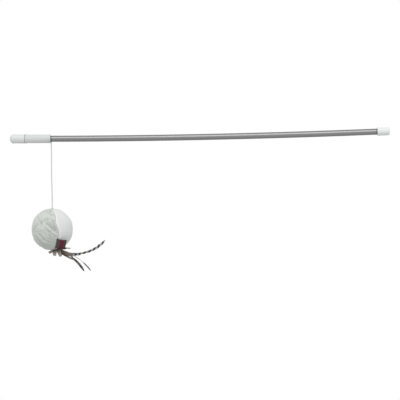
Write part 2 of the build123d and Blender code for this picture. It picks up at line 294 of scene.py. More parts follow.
def new_finish(name, colour, roughness, **sockets):
    """A material with a Principled shader; returns it, its node tree and the shader."""
    finish = bpy.data.materials.new(name)
    finish.use_nodes = True
    shader = finish.node_tree.nodes["Principled BSDF"]
    set_sockets(shader, Base_Color=(*colour, 1.0), Roughness=roughness, **sockets)
    return finish, finish.node_tree, shader


def build_mottle():
    """The uneven tone and fine relief that every one of the toy's materials has, as a node group."""
    group = bpy.data.node_groups.new("mottle", "ShaderNodeTree")
    for flow, kind, sockets in (
        ("INPUT", "Vector", ("Vector",)),
        ("INPUT", "Float", ("Scale", "Detail", "Relief", "Depth")),
        ("INPUT", "Color", ("Dark", "Pale")),
        ("OUTPUT", "Color", ("Colour",)),
        ("OUTPUT", "Float", ("Value",)),
        ("OUTPUT", "Vector", ("Normal",)),
    ):
        for socket in sockets:
            group.interface.new_socket(socket, in_out=flow, socket_type=f"NodeSocket{kind}")
    given = group.nodes.new("NodeGroupInput")
    given_out = group.nodes.new("NodeGroupOutput")
    cloud = put_node(group, "TexNoise")
    spread = put_node(group, "MapRange", From_Min=0.3, From_Max=0.7)
    tone = put_blend(group)
    relief = put_node(group, "Bump")
    wire(
        group,
        (given, "Vector", cloud, "Vector"),
        (given, "Scale", cloud, "Scale"),
        (given, "Detail", cloud, "Detail"),
        (cloud, "Fac", spread, "Value"),
        (spread, "Result", tone, 0),
        (given, "Dark", tone, 6),
        (given, "Pale", tone, 7),
        (cloud, "Fac", relief, "Height"),
        (given, "Relief", relief, "Strength"),
        (given, "Depth", relief, "Distance"),
        (tone, 2, given_out, "Colour"),
        (spread, "Result", given_out, "Value"),
        (relief, "Normal", given_out, "Normal"),
    )
    return group


mottle = build_mottle()


def put_mottle(tree, place, dark, pale, **settings):
    """Place the mottle in one material, with its own two tones, coarseness and relief."""
    made = put_node(tree, "Group")
    made.node_tree = mottle
    set_sockets(made, Dark=(*dark, 1.0), Pale=(*pale, 1.0), **settings)
    tree.links.new(place, made.inputs["Vector"])
    return made


def object_place(tree):
    """The place on a piece that a pattern is laid by."""
    return put_node(tree, "TexCoord").outputs["Object"]


clear_bench()
bpy.ops.mesh.primitive_circle_add(
    vertices=64, radius=rod_radius, location=tube_start, rotation=(0.0, math.pi / 2, 0.0)
)
rod = bpy.context.object
open_mesh(rod)
bpy.ops.mesh.extrude_region_move(TRANSFORM_OT_translate={"value": bow_start - tube_start})
bpy.ops.mesh.spin(
    steps=90,
    angle=rod_turn,
    center=bow_start + above(bow_radius),
    axis=(0.0, 1.0, 0.0),
)
bpy.ops.mesh.extrude_region_move(
    TRANSFORM_OT_translate={"value": butt_way * (tube_end_reach - butt_mouth_reach + bow_setback)}
)
bpy.ops.mesh.select_all(action="SELECT")
bpy.ops.mesh.remove_doubles(threshold=1e-6)
bpy.ops.mesh.normals_make_consistent(inside=False)
bpy.ops.object.mode_set(mode="OBJECT")
give_wall(rod, rod_wall, -1.0)
clear_bench()
bpy.ops.mesh.primitive_cylinder_add(
    vertices=32,
    radius=cord_hole_radius,
    depth=2 * rod_radius,
    location=cord_top - above(rod_radius),
)
drill = bpy.context.object
hole = rod.modifiers.new("hole", "BOOLEAN")
hole.operation = "DIFFERENCE"
hole.solver = "EXACT"
hole.object = drill
apply_modifiers(rod)
bpy.data.objects.remove(drill)
smooth(rod, 40.0)


def put_joint_shade(tree, place, colour, joints_x, reach, least):
    """Paint shade into a colour close to the places along X where two pieces are pushed together, where the rim
    and the gap between them shade the surface.
    """
    parts = put_node(tree, "SeparateXYZ")
    tree.links.new(place, parts.inputs["Vector"])
    for joint_x in joints_x:
        off = put_sum(tree, "SUBTRACT", joint_x)
        away = put_sum(tree, "ABSOLUTE")
        shade = put_node(tree, "MapRange", From_Max=reach, To_Min=least)
        dimmed = put_blend(tree, "MULTIPLY", 1.0)
        wire(
            tree,
            (parts, "X", off, 0),
            (off, "Value", away, 0),
            (away, "Value", shade, "Value"),
        )
        tree.links.new(colour, dimmed.inputs[6])
        wire(tree, (shade, "Result", dimmed, 7))
        colour = dimmed.outputs[2]
    return colour


satin_silver, tree, shader = new_finish(
    "satin_silver", (0.24, 0.24, 0.242), 0.27, Metallic=1.0, Specular_Tint=(0.35, 0.35, 0.35, 1.0)
)
place = object_place(tree)
drawn = put_node(tree, "Mapping", Scale=(3.0, 900.0, 900.0))
tree.links.new(place, drawn.inputs["Vector"])
silver_tones = ((0.235, 0.235, 0.237), (0.265, 0.265, 0.267))
streaks = put_mottle(
    tree, drawn.outputs["Vector"], *silver_tones, Scale=1.0, Detail=3.0, Relief=0.02, Depth=0.0002
)
# Painted shade: the rod's colour falls to 0.4 at the sleeve's and the butt cap's mouths and comes back over 2.6
# mm, where the fittings shade it.
mouths_x = (tip_mouth.x, butt_way.x * butt_mouth_reach)
silver = put_joint_shade(tree, place, streaks.outputs["Colour"], mouths_x, reach=0.0026, least=0.4)
gloss = put_node(tree, "MapRange", To_Min=0.3, To_Max=0.37)
tree.links.new(silver, shader.inputs["Base Color"])
wire(
    tree,
    (streaks, "Value", gloss, "Value"),
    (gloss, "Result", shader, "Roughness"),
    (streaks, "Normal", shader, "Normal"),
)
set_down(rod, "rod", satin_silver)
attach(rod, "wand")
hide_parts("rod_tube")

# End fittings: tip cap, tip sleeve and butt cap, moulded in white plastic and pushed on the
# rod. Their turned shapes are the model's own; the finish adds the mould's skin, an uneven tone and painted shade
# along the joint between the tip cap and the sleeve.


def moulded_finish(name, dark, pale, joints_x):
    """White moulded plastic with flow marks, a fine pebbled skin and painted shade along its joint, where the gap
    shades it.
    """
    finish, tree, shader = new_finish(name, pale, 0.36, Specular_IOR_Level=0.35)
    place = object_place(tree)
    flow = put_mottle(tree, place, dark, pale, Scale=45.0, Detail=3.0)
    pebble = put_mottle(tree, place, dark, pale, Scale=2600.0, Detail=2.0, Relief=0.12, Depth=0.0001)
    # Painted shade: the colour dims to 0.82 within 0.9 mm of the joint with the next piece, where the gap is
    # shaded.
    white = put_joint_shade(tree, place, flow.outputs["Colour"], joints_x, reach=0.0009, least=0.82)
    gloss = put_node(tree, "MapRange", To_Min=0.3, To_Max=0.44)
    tree.links.new(white, shader.inputs["Base Color"])
    wire(
        tree,
        (flow, "Value", gloss, "Value"),
        (gloss, "Result", shader, "Roughness"),
        (pebble, "Normal", shader, "Normal"),
    )
    return finish


cap_tones = ((0.79, 0.815, 0.808), (0.85, 0.87, 0.865))
butt_tones = ((0.87, 0.89, 0.885), (0.91, 0.93, 0.925))
sleeve_tones = ((0.7, 0.725, 0.718), (0.755, 0.778, 0.77))
sleeve_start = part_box("tip_sleeve")[0].x
fitting_whites = {
    "tip_cap": moulded_finish("tip_cap_white", *cap_tones, (sleeve_start,)),
    "tip_sleeve": moulded_finish("sleeve_white", *sleeve_tones, (sleeve_start,)),
    "butt_cap": moulded_finish("butt_cap_white", *butt_tones, ()),
}
for name, white in fitting_whites.items():
    frame["nodes"][name].data.materials.clear()
    frame["nodes"][name].data.materials.append(white)

# Cord: a thin white twisted cord, knotted inside the rod, that hangs from the hole by the
# sleeve's mouth and carries the ball. Its route is the model's, seen bent a little by the twist.
cord_radius = 0.00075
front_pivot = Vector(joints["cord_swing_front"]["pos_m"])
side_pivot = Vector(joints["cord_swing_side"]["pos_m"])
cord_end = Vector(joints["ball_twist"]["pos_m"])
cord_route = [front_pivot, (front_pivot + side_pivot) / 2, side_pivot]
for aside, down in ((0.0003, 0.02), (0.00005, 0.041), (0.00095, 0.062), (0.00095, 0.0823)):
    cord_route.append(side_pivot + Vector((aside, 0.0, -down)))
lay_length = 0.0042
lobe_proud = 1.06
lobe_hollow = 0.86
clear_bench()
bpy.ops.curve.primitive_nurbs_circle_add(radius=lobe_proud * cord_radius)
lobes = bpy.context.object
for number, point in enumerate(lobes.data.splines[0].points):
    if number % 2:
        point.co.xyz = point.co.xyz * lobe_hollow
lobes.data.resolution_u = 4
cord_data = bpy.data.curves.new("cord", "CURVE")
cord_data.dimensions = "3D"
cord_data.resolution_u = 72
spline = cord_data.splines.new("NURBS")
spline.points.add(len(cord_route) - 1)
run = 0.0
for number, (point, place) in enumerate(zip(spline.points, cord_route)):
    if number:
        run += (place - cord_route[number - 1]).length
    point.co = (*place, 1.0)
    point.tilt = math.tau * run / lay_length
spline.order_u = 3
spline.use_endpoint_u = True
cord = bpy.data.objects.new("cord", cord_data)
bpy.context.scene.collection.objects.link(cord)
centreline = bpy.data.meshes.new_from_object(cord)
bpy.data.meshes.remove(centreline)
cord_data.bevel_mode = "OBJECT"
cord_data.bevel_object = lobes
cord_data.use_fill_caps = True
take_up(cord)
bpy.ops.object.convert(target="MESH")
cord = bpy.context.object
bpy.data.objects.remove(lobes)
smooth(cord)

white_twine, tree, shader = new_finish("white_twine", (0.86, 0.86, 0.85), 0.8, Sheen_Weight=0.3)
place = object_place(tree)
twine_tones = ((0.7, 0.7, 0.695), (0.8, 0.8, 0.79))
fibres = put_mottle(tree, place, *twine_tones, Scale=2200.0, Detail=3.0, Relief=0.4, Depth=0.0001)
wire(tree, (fibres, "Colour", shader, "Base Color"), (fibres, "Normal", shader, "Normal"))
set_down(cord, "cord", white_twine)
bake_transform(cord)
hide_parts("cord_neck", "cord_free")

# Stop knot: the cord's upper end, pulled into a tight knot inside the rod above its hole, with
# the short stub that comes out through the hole and rounds over where the cord swings.
stop_knot_depth = 0.0011
stub_end_swell = 1.02
knot_rise = 1.4
knot_crease = 50.0
knot_place = cord_top - above(stop_knot_depth)


def tie_knot(centre, tightness, thickness):
    """A trefoil of cord, pulled tight round its centre."""
    clear_bench()
    bpy.ops.curve.primitive_nurbs_circle_add(radius=tightness, location=centre)
    knot = bpy.context.object
    bpy.ops.object.mode_set(mode="EDIT")
    bpy.ops.curve.select_all(action="SELECT")
    bpy.ops.curve.subdivide(number_cuts=3)
    bpy.ops.object.mode_set(mode="OBJECT")
    points = knot.data.splines[0].points
    for number, point in enumerate(points):
        turn = math.tau * number / len(points)
        point.co.x = tightness * (math.sin(turn) + 2.0 * math.sin(2.0 * turn))
        point.co.y = tightness * (math.cos(turn) - 2.0 * math.cos(2.0 * turn))
        point.co.z = -knot_rise * tightness * math.sin(3.0 * turn)
    knot.data.bevel_depth = thickness
    knot.data.bevel_resolution = 3
    take_up(knot)
    bpy.ops.object.convert(target="MESH")
    return bpy.context.object


def join_to(piece, addition):
    """Make a second piece one with the first."""
    take_up(piece)
    addition.select_set(True)
    bpy.ops.object.join()


def join_stub(knot, foot, length):
    """Join a short straight end of the cord to its knot, from a foot up."""
    clear_bench()
    bpy.ops.mesh.primitive_cylinder_add(
        vertices=24,
        radius=cord_radius,
        depth=length,
        location=foot + above(length / 2),
    )
    join_to(knot, bpy.context.object)


stop_knot = tie_knot(knot_place, tightness=0.00036, thickness=0.9 * cord_radius)
join_stub(stop_knot, front_pivot, knot_place.z - front_pivot.z)
clear_bench()
bpy.ops.mesh.primitive_uv_sphere_add(
    segments=24,
    ring_count=12,
    radius=stub_end_swell * cord_radius,
    location=front_pivot,
)
join_to(stop_knot, bpy.context.object)
smooth(stop_knot, knot_crease)
set_down(stop_knot, "stop_knot", white_twine)
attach(stop_knot, "wand")
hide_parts("cord_stop_knot")

# Ball knot: the cord's lower end, tied in a knot under the cover's gathered top, so that the
# ball hangs on it and can turn. A short stub leads up through the gather to the free cord.
ball_radius = 0.027
ball_stub_proud = 0.0015
ball_knot_depth = 0.0047
stub_gap = 0.00004
ball_top = cord_end - above(ball_stub_proud)
ball_centre = ball_top - above(ball_radius)
ball_knot_place = ball_top - above(ball_knot_depth)
ball_knot = tie_knot(ball_knot_place, tightness=0.0006, thickness=cord_radius)
join_stub(ball_knot, ball_knot_place, cord_end.z - stub_gap - ball_knot_place.z)
smooth(ball_knot, knot_crease)
set_down(ball_knot, "ball_knot_tied", white_twine)
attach(ball_knot, "ball")
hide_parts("ball_knot")

# Filling: loose white fibre, pushed into the cover until it is firm. It is a little lumpy, and
# only the cover holds it in place.
filling_radius = 0.0252
lump_height = 0.0006
lump_pitch = 6.0
clear_bench()
bpy.ops.mesh.primitive_ico_sphere_add(subdivisions=5, radius=filling_radius, location=ball_centre)
filling = bpy.context.object
bpy.ops.object.transform_apply(location=True)
for vertex in filling.data.vertices:
    way = (vertex.co - ball_centre).normalized()
    lump = noise.fractal(way * lump_pitch, 0.8, 2.0, 3)
    vertex.co = ball_centre + way * (filling_radius - lump_height * (1.0 + lump))
smooth(filling)

fibre_fill, tree, shader = new_finish("fibre_fill", (0.8, 0.8, 0.78), 0.9)
place = object_place(tree)
fibre_tones = ((0.68, 0.68, 0.66), (0.84, 0.84, 0.82))
wisps = put_mottle(tree, place, *fibre_tones, Scale=700.0, Detail=5.0, Relief=0.5, Depth=0.0004)
wire(tree, (wisps, "Colour", shader, "Base Color"), (wisps, "Normal", shader, "Normal"))
set_down(filling, "filling", fibre_fill)
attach(filling, "ball")
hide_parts("stuffing")

# Ball cover: four sewn gores, two of thin crinkled grey-green fabric and two of smooth pale
# fabric, joined along four seams from pole to pole, turned, filled and drawn shut at the top.
# The crinkled gores are cut too large, so they buckle between their seams and take creases.
gore_names = ["crinkle_gore_front", "plain_gore_right", "crinkle_gore_back", "plain_gore_left"]
first_edge = math.radians(-163.0)
quarter = math.pi / 2
seam_slips = [(-6.0, 0.1), (2.5, -0.12), (0.0, 0.0), (0.0, 0.0)]
seam_wander = math.radians(2.4)
cloth_thickness = 0.0004
cover_rest_radius = 0.0266
cover_least_radius = 0.02575
cover_most_radius = 0.0284
cover_label_radius = 0.02705
core_radius = 0.0256
solver_scale = 20.0
solver_gap = 0.002
crinkle_excess = 0.22
plain_excess = 0.004
sewn_edge = 0.004
sewn_pole = 0.06
crumple_height = 0.0003
crumple_margin = 0.08
crinkle_lift = 0.0002
crinkle_buckle = 0.0005
crinkle_slack = 0.0008
plain_buckle = 0.0001
plain_slack = 0.0004
swell_unit = 0.0007
crease_deep_unit = 0.0011
crease_wide_unit = 0.00125
crease_margin = 0.003
fold_unit = 0.0012
seam_depth = 0.0006
seam_width = 0.0011
pucker_pitch = 0.0042
pucker_height = 0.00022
pucker_place = 0.0016
allowance_height = 0.0003
allowance_place = 0.0022
allowance_width = 0.0013
gather_start = 0.78
gather_folds = 13.0
crinkle_gather = 0.0007
plain_gather = 0.0003
front_creases = [
    ((-103.0, 16.5), (-68.0, -12.5), 1.3, 2.9),
    ((-101.0, 23.0), (-77.0, 3.0), 1.0, 5.5),
    ((-106.0, -12.0), (-77.0, -27.0), 0.7, 6.0),
    ((-135.0, 61.0), (-92.0, 63.0), 1.0, 3.4),
    ((-140.0, -44.0), (-98.0, -54.0), 0.8, 6.0),
    ((-108.0, 4.5), (-71.0, -24.0), 0.9, 2.0),
    ((-113.0, -30.5), (-81.0, -39.5), 1.1, 2.5),
    ((-152.0, 38.0), (-121.0, 18.0), 1.0, 2.6),
    ((-121.0, 18.0), (-104.0, 29.0), 1.0, 2.4),
    ((-103.0, 51.0), (-82.0, 43.0), 1.1, 2.4),
    ((-134.0, 16.0), (-153.0, -7.0), 1.0, 2.6),
    ((-126.0, -14.0), (-115.0, -26.0), 1.1, 2.4),
    ((-128.0, 10.0), (-112.0, 10.5), 0.7, 1.8),
    ((-140.0, -22.0), (-120.0, -48.0), 0.9, 2.6),
    ((-88.0, 31.0), (-80.0, 8.0), 0.9, 2.2),
    ((-147.0, 52.0), (-126.0, 34.0), 0.8, 2.4),
    ((-98.0, -4.0), (-92.0, -28.0), 0.6, 2.2),
]
ball_outline = [
    *((0.0, -0.35), (24.0, 0.5), (52.0, -0.4), (78.0, -0.1), (100.0, 0.4)),
    *((125.0, 0.8), (143.0, 0.5), (160.0, 0.5), (186.0, -0.35), (218.0, 0.6)),
    *((242.0, 0.0), (262.0, 0.3), (300.0, 0.2), (340.0, 0.3), (360.0, -0.35)),
]


def round_off(piece):
    """Round a mesh off by one even level of subdivision."""
    finer = piece.modifiers.new("finer", "SUBSURF")
    finer.levels = 1
    finer.render_levels = 1


def ball_way(longitude, latitude):
    """Unit vector from the ball's centre, in degrees of longitude and latitude."""
    level = math.cos(math.radians(latitude))
    return Vector((
        level * math.cos(math.radians(longitude)),
        level * math.sin(math.radians(longitude)),
        math.sin(math.radians(latitude)),
    ))


def seam_slip(number, latitude):
    """How far one seam lies off its even place, by its lean and the wander of hand sewing."""
    slip, lean = seam_slips[number]
    wander = seam_wander * math.sin(6.0 * latitude - 2.2 + 1.7 * number)
    return math.radians(slip) + lean * latitude - wander


def outline_swell(way):
    """How far the firm filling pushes the cover out towards the sides that are seen in outline."""
    turn = math.degrees(math.atan2(way.z, way.x)) % 360.0
    for (before, low), (after, high) in zip(ball_outline, ball_outline[1:]):
        if before <= turn <= after:
            ease = 0.5 - 0.5 * math.cos(math.pi * (turn - before) / (after - before))
            return swell_unit * (low + (high - low) * ease) * (1.0 - way.y * way.y)
    return 0.0


def loose_creases(chance, first, last, count):
    """Short creases that lie any way across one gore."""
    creases = []
    for number in range(count):
        start = ball_way(chance.uniform(first, last), chance.uniform(-60.0, 64.0))
        east = above(1.0).cross(start).normalized()
        heading = Matrix.Rotation(chance.uniform(0.0, math.tau), 3, start) @ east
        end = (start + heading * chance.uniform(0.22, 0.5)).normalized()
        creases.append((start, end, chance.uniform(0.0003, 0.0007), chance.uniform(0.0014, 0.0024)))
    return creases


def crease_depth(way, creases):
    """How far the creases draw the cloth in at one place on the ball."""
    depth = 0.0
    for start, end, deep, wide in creases:
        run = end - start
        share = max(0.0, min(1.0, (way - start).dot(run) / run.length_squared))
        gap = (way - (start + run * share).normalized()).length * ball_radius
        if gap < wide:
            depth += deep * (1.0 - gap / wide) ** 1.4
    return depth


clear_bench()
bpy.ops.mesh.primitive_uv_sphere_add(
    segments=176,
    ring_count=88,
    radius=cover_rest_radius,
    rotation=(0.0, 0.0, first_edge),
)
cover = bpy.context.object
bpy.ops.object.transform_apply(rotation=True)
for name in gore_names:
    cover.data.materials.append(bpy.data.materials.new(name))
seams = cover.vertex_groups.new(name="seams")
plain = cover.vertex_groups.new(name="plain")
cover_map = cover.data.uv_layers.active.data
for face in cover.data.polygons:
    middle = (math.atan2(face.center.y, face.center.x) - first_edge) % math.tau
    face.material_index = int(middle // quarter)
    for corner in face.loop_indices:
        point = cover.data.vertices[cover.data.loops[corner].vertex_index].co
        turn = middle
        if math.hypot(point.x, point.y) > 1e-6:
            turn = (math.atan2(point.y, point.x) - first_edge) % math.tau
            turn += math.tau * round((middle - turn) / math.tau)
        height = math.asin(max(-1.0, min(1.0, point.z / cover_rest_radius))) / math.pi + 0.5
        cover_map[corner].uv = (turn / quarter - face.material_index, height)
for vertex in cover.data.vertices:
    way = vertex.co.normalized()
    level = math.hypot(way.x, way.y)
    latitude = math.asin(max(-1.0, min(1.0, way.z)))
    turn = ((math.atan2(way.y, way.x) - first_edge) % math.tau) / quarter
    number = int(turn) % 4
    share = turn - int(turn)
    edge = min(share, 1.0 - share) * quarter * level
    if edge < sewn_edge or level < sewn_pole:
        seams.add([vertex.index], 1.0, "REPLACE")
    if number % 2:
        plain.add([vertex.index], 1.0, "REPLACE")
    slip = seam_slip(number, latitude)
    slip += share * (seam_slip((number + 1) % 4, latitude) - slip)
    crumple = noise.fractal(way * 6.0 + Vector((3.1, 0.4, 1.7)), 0.7, 2.0, 3)
    reach = cover_rest_radius
    if number % 2 == 0:
        reach += crumple_height * crumple * min(1.0, edge / crumple_margin)
    vertex.co = Matrix.Rotation(slip, 3, "Z") @ way * reach * solver_scale

clear_bench()
bpy.ops.mesh.primitive_ico_sphere_add(subdivisions=4, radius=core_radius * solver_scale)
core = bpy.context.object
core.modifiers.new("core", "COLLISION")
core.collision.thickness_outer = solver_gap
cloth = cover.modifiers.new("cloth", "CLOTH")
fabric = cloth.settings
fabric.quality = 6
fabric.mass = 0.1
fabric.tension_stiffness = 20.0
fabric.compression_stiffness = 20.0
fabric.shear_stiffness = 8.0
fabric.bending_stiffness = 0.02
fabric.air_damping = 4.0
fabric.use_pressure = True
fabric.uniform_pressure_force = 0.3
fabric.vertex_group_mass = "seams"
fabric.vertex_group_shrink = "plain"
fabric.shrink_min = -crinkle_excess
fabric.shrink_max = -plain_excess
fabric.effector_weights.gravity = 0.0
cloth.collision_settings.distance_min = solver_gap
for step in range(1, 21):
    bpy.context.scene.frame_set(step)
apply_modifiers(cover)
bpy.context.scene.frame_set(1)
bpy.data.objects.remove(core)
cover.vertex_groups.clear()
round_off(cover)
apply_modifiers(cover)
chance = random.Random(12)
label_way = ball_way(-55.0, -41.5)
gore_creases = {
    0: [
        (ball_way(*start), ball_way(*end), deep * crease_deep_unit, wide * crease_wide_unit)
        for start, end, deep, wide in front_creases
    ],
    2: loose_creases(chance, 26.0, 100.0, 34),
}
gore_creases[0] += loose_creases(chance, -160.0, -80.0, 16)
# The fold_height attribute keeps how far each point of the cover stands out from the smooth ball or sinks into it,
# in units of fold_unit; the crinkled cloth paints shade and highlight from it.
fold_height = cover.data.attributes.new("fold_height", "FLOAT", "POINT")
shares = {}
for face in cover.data.polygons:
    for corner in face.loop_indices:
        index = cover.data.loops[corner].vertex_index
        shares[index] = (face.material_index, cover.data.uv_layers.active.data[corner].uv.x)
for vertex in cover.data.vertices:
    number, share = shares[vertex.index]
    way = vertex.co.normalized()
    level = math.hypot(way.x, way.y)
    edge = min(share, 1.0 - share) * quarter * level * ball_radius
    loose = vertex.co.length / solver_scale - cover_rest_radius
    away = min(1.0, edge / crease_margin)
    if number in gore_creases:
        slack = math.tanh((loose - crinkle_slack) / crinkle_slack)
        reach = ball_radius + crinkle_lift + crinkle_buckle * slack
        reach -= crease_depth(way, gore_creases[number]) * away
    else:
        reach = ball_radius + plain_buckle * math.tanh(loose / plain_slack)
    beside_label = max(0.0, min(1.0, (way.dot(label_way) - 0.6) / 0.32))
    beside_label *= beside_label * (3.0 - 2.0 * beside_label)
    reach += outline_swell(way) * (1.0 - beside_label)
    run = way.z * ball_radius
    pucker = math.sin(math.tau * run / pucker_pitch + 2.0 * math.sin(190.0 * run) + number)
    reach += pucker_height * pucker * math.exp(-((edge - pucker_place) / pucker_place) ** 2)
    reach += allowance_height * math.exp(-((edge - allowance_place) / allowance_width) ** 2)
    reach -= seam_depth * math.exp(-((edge / seam_width) ** 2))
    drawn = max(0.0, (way.z - gather_start) / (1.0 - gather_start))
    turn = math.atan2(way.y, way.x)
    fold = math.sin(gather_folds * turn + 2.0 * math.sin(3.0 * turn))
    fold *= plain_gather if number % 2 else crinkle_gather
    reach += fold * math.sin(math.pi * min(1.0, 1.15 * drawn))
    fold_height.data[vertex.index].value = (reach - outline_swell(way) - ball_radius) / fold_unit
    most = cover_most_radius + (cover_label_radius - cover_most_radius) * beside_label
    vertex.co = ball_centre + way * max(cover_least_radius, min(most, reach))
open_mesh(cover)
bpy.ops.mesh.separate(type="MATERIAL")
bpy.ops.object.mode_set(mode="OBJECT")
gores = {piece.data.materials[0].name: piece for piece in bpy.context.selected_objects}

crinkle_cloth, tree, shader = new_finish("crinkle_cloth", (0.65, 0.68, 0.645), 0.62)
place = object_place(tree)
crinkle_tones = ((0.61, 0.645, 0.6), (0.69, 0.715, 0.68))
cloud = put_mottle(tree, place, *crinkle_tones, Scale=170.0, Detail=4.0)
# Painted shade and highlight: read from fold_height, the cloth is darkened in its creases, hollows and seam
# grooves and lightened on its ridges.
folds = put_node(tree, "Attribute")
folds.attribute_name = "fold_height"
hollow = put_node(tree, "MapRange", From_Min=-1.2, From_Max=0.5)
shade = put_ramp(tree, (0.0, (0.72, 0.73, 0.71)), (0.55, (0.95, 0.955, 0.95)), (1.0, (1.08, 1.07, 1.08)))
toned = put_blend(tree, "MULTIPLY", 1.0)
crumple = put_node(tree, "TexNoise", Scale=150.0, Detail=3.0)
crumple.noise_type = "RIDGED_MULTIFRACTAL"
relief = put_node(tree, "Bump", Strength=0.22, Distance=0.0006)
wire(
    tree,
    (folds, "Fac", hollow, "Value"),
    (hollow, "Result", shade, "Fac"),
    (cloud, "Colour", toned, 6),
    (shade, "Color", toned, 7),
    (toned, 2, shader, "Base Color"),
    (crumple, "Fac", relief, "Height"),
    (relief, "Normal", shader, "Normal"),
)
tree.links.new(place, crumple.inputs["Vector"])

plain_cloth, tree, shader = new_finish("plain_cloth", (0.8, 0.805, 0.805), 0.8)
place = object_place(tree)
plain_tones = ((0.81, 0.82, 0.815), (0.86, 0.865, 0.865))
cloud = put_mottle(tree, place, *plain_tones, Scale=120.0, Detail=4.0, Relief=0.15, Depth=0.0004)


def map_parts(tree):
    """The two shares of a piece's own map, along it and across it."""
    mapped = put_node(tree, "UVMap")
    parts = put_node(tree, "SeparateXYZ")
    wire(tree, (mapped, "UV", parts, "Vector"))
    return parts


parts = map_parts(tree)
doubled = put_ramp(
    tree,
    (0.0, (1.0, 1.0, 1.0)),
    (0.06, (1.0, 1.0, 1.0)),
    (0.1, (0.0, 0.0, 0.0)),
    (0.92, (0.0, 0.0, 0.0)),
    (0.96, (1.0, 1.0, 1.0)),
)
seam_tone = put_blend(tree)
seam_tone.inputs[7].default_value = (0.9, 0.91, 0.9, 1.0)
wire(
    tree,
    (parts, "X", doubled, "Fac"),
    (doubled, "Color", seam_tone, 0),
    (cloud, "Colour", seam_tone, 6),
    (seam_tone, 2, shader, "Base Color"),
    (cloud, "Normal", shader, "Normal"),
)

for name, piece in gores.items():
    give_wall(piece, cloth_thickness, -1.0)
    apply_modifiers(piece)
    smooth(piece)
    if name.startswith("crinkle"):
        set_down(piece, f"{name}_cloth", crinkle_cloth)
    else:
        set_down(piece, f"{name}_cloth", plain_cloth)
    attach(piece, "ball")
    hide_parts(name)

# Gather: the top edges of the cover's gores, drawn together tightly round the cord, so that
# they stand up in a small crumpled ruff.
ruff_lift = 0.0001
ruff_folds = 9.0
ruff_loose_start = 0.0011
ruff_loose_span = 0.001
ruff_wave = 0.00025
ruff_flare = 0.16
clear_bench()
bpy.ops.mesh.primitive_torus_add(
    major_segments=72,
    minor_segments=20,
    major_radius=0.00145,
    minor_radius=0.0006,
    location=ball_top + above(ruff_lift),
)
ruff = bpy.context.object
bpy.ops.object.transform_apply(location=True)
for vertex in ruff.data.vertices:
    out = vertex.co - ball_top
    turn = math.atan2(out.y, out.x)
    fold = math.sin(ruff_folds * turn + 1.3 * math.sin(2.0 * turn))
    spread = math.hypot(out.x, out.y)
    loose = max(0.0, min(1.0, (spread - ruff_loose_start) / ruff_loose_span))
    vertex.co.z += ruff_wave * fold * loose
    vertex.co.x += out.x * ruff_flare * fold * loose
    vertex.co.y += out.y * ruff_flare * fold * loose
smooth(ruff)
set_down(ruff, "gather_ruff", crinkle_cloth)
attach(ruff, "ball")
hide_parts("gather_ring")

# Label: a small woven tape tab, grey with a crimson band, sewn in at the tail's root. It follows
# the ball along its length and stands off it along one long edge.
label_width = 0.013
label_length = 0.017
label_gap = 0.0003
label_thickness = 0.0008
tape_thickness = 0.0005
label_dip = 0.0008
label_ripple = 0.00025
label_flare = 0.03
label_lean = math.radians(13.0)
label_roll = math.radians(25.0)
label_east = above(1.0).cross(label_way).normalized()
label_run = Matrix.Rotation(label_lean, 3, label_way) @ label_way.cross(label_east)
label_across = label_way.cross(label_run)
label_radius = ball_radius + label_gap + label_thickness / 2
label_edge_turn = Matrix.Rotation(-label_width / 2 / label_radius, 3, label_run)
label_edge = ball_centre + label_edge_turn @ label_way * label_radius
label_face = Matrix.Rotation(-label_roll, 3, label_run) @ label_way
label_side = Matrix.Rotation(-label_roll, 3, label_run) @ label_across
label_centre = label_edge - label_side * (label_width / 2) - label_face * label_radius
label_up = label_side.cross(label_face)
clear_bench()
bpy.ops.mesh.primitive_grid_add(x_subdivisions=26, y_subdivisions=34, size=1.0)
label = bpy.context.object
for vertex in label.data.vertices:
    across = vertex.co.x
    along = vertex.co.y
    free = along + 0.5
    dip = label_dip * (1.0 - (2.0 * across) ** 2) * max(0.0, along) * 2.0
    turn = (along * label_length - dip) / label_radius
    ripple = label_ripple * math.sin(9.0 * across + 2.0 * along) * free
    flare = 1.0 + label_flare * max(0.0, along)
    out = label_face * math.cos(turn) + label_up * math.sin(turn)
    vertex.co = label_centre + out * (label_radius + ripple) - label_side * (across * label_width * flare)
give_wall(label, tape_thickness, 0.0)
apply_modifiers(label)
open_mesh(label)
bpy.ops.mesh.normals_make_consistent(inside=False)
bpy.ops.object.mode_set(mode="OBJECT")
smooth(label, 50.0)

woven_tape, tree, shader = new_finish("woven_tape", (0.085, 0.072, 0.068), 0.75)
place = put_node(tree, "UVMap")
parts = put_node(tree, "SeparateXYZ")
band = put_ramp(
    tree,
    (0.0, (0.1, 0.086, 0.082)),
    (0.36, (0.08, 0.064, 0.062)),
    (0.41, (0.14, 0.004, 0.022)),
    (0.72, (0.16, 0.005, 0.026)),
    (0.78, (0.075, 0.05, 0.052)),
)
ribs = put_node(tree, "TexWave", Scale=16.0, Distortion=0.4)
ribs.bands_direction = "Y"
relief = put_node(tree, "Bump", Strength=0.4, Distance=0.0002)
wire(
    tree,
    (place, "UV", parts, "Vector"),
    (parts, "X", band, "Fac"),
    (band, "Color", shader, "Base Color"),
    (place, "UV", ribs, "Vector"),
    (ribs, "Fac", relief, "Height"),
    (relief, "Normal", shader, "Normal"),
)
set_down(label, "label", woven_tape)
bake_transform(label)
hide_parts("label_tab")

